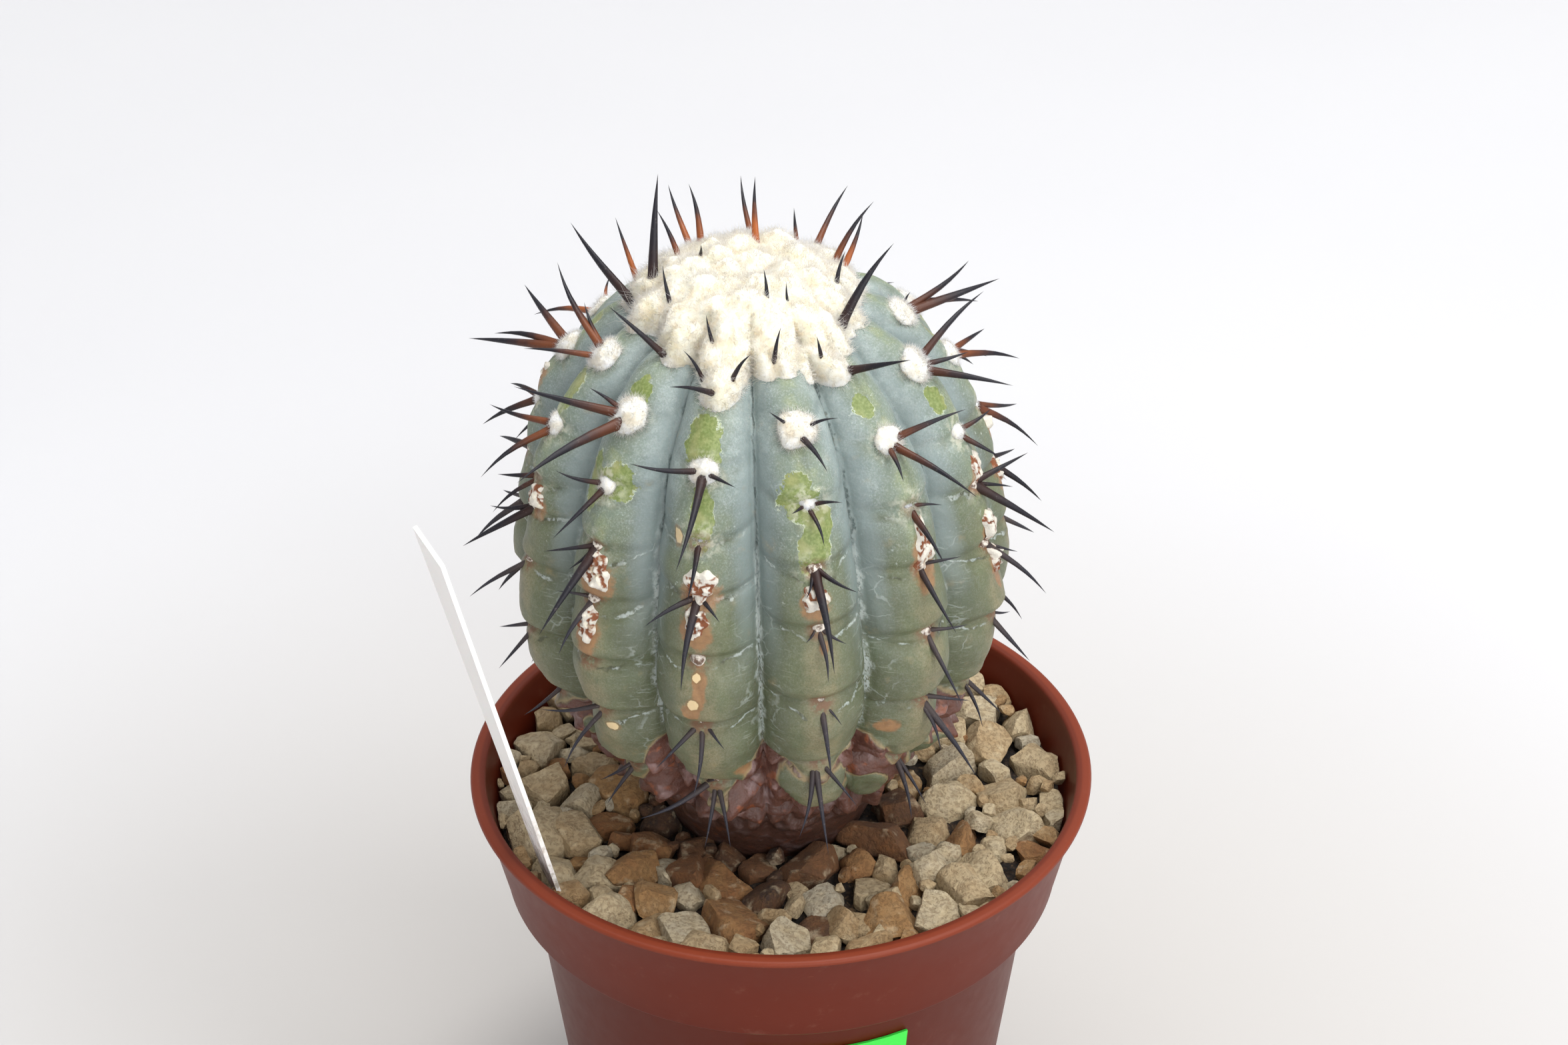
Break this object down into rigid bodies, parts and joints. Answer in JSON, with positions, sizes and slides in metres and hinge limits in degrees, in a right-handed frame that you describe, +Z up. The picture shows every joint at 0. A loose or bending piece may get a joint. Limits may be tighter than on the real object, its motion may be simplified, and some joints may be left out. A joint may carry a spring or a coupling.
{
  "type": "copiapoa cactus",
  "caption": "Potted globe cactus: a ribbed grey-green stem with dark spines and a woolly crown, standing in gravel in a plain plastic pot with a blank plant label.",
  "frame": {"origin": "centre of the pot's foot, on the plane it stands on", "axes": "+Z up along the pot's axis, -Y towards the viewer and the green sticker, +X to the viewer's right"},
  "size_m": [0.1236, 0.12, 0.2243],
  "materials": {
    "pot": "satin terracotta-coloured moulded plastic",
    "soil": "dark crumbly potting mix",
    "gravel": "dry matt cream, tan and ochre pebbles",
    "stem": "waxy blue-grey-green plant skin with dark matt spines",
    "crown_wool": "soft cream plant wool with dark spines",
    "plant_label": "smooth white plastic",
    "pot_sticker": "plain bright green"
  },
  "bodies": {
    "root": {"pot": "pot", "soil": "soil", "gravel": "gravel", "stem": "stem", "crown_wool": "crown_wool", "plant_label": "plant_label", "pot_sticker": "pot_sticker"}
  },
  "joints": []
}
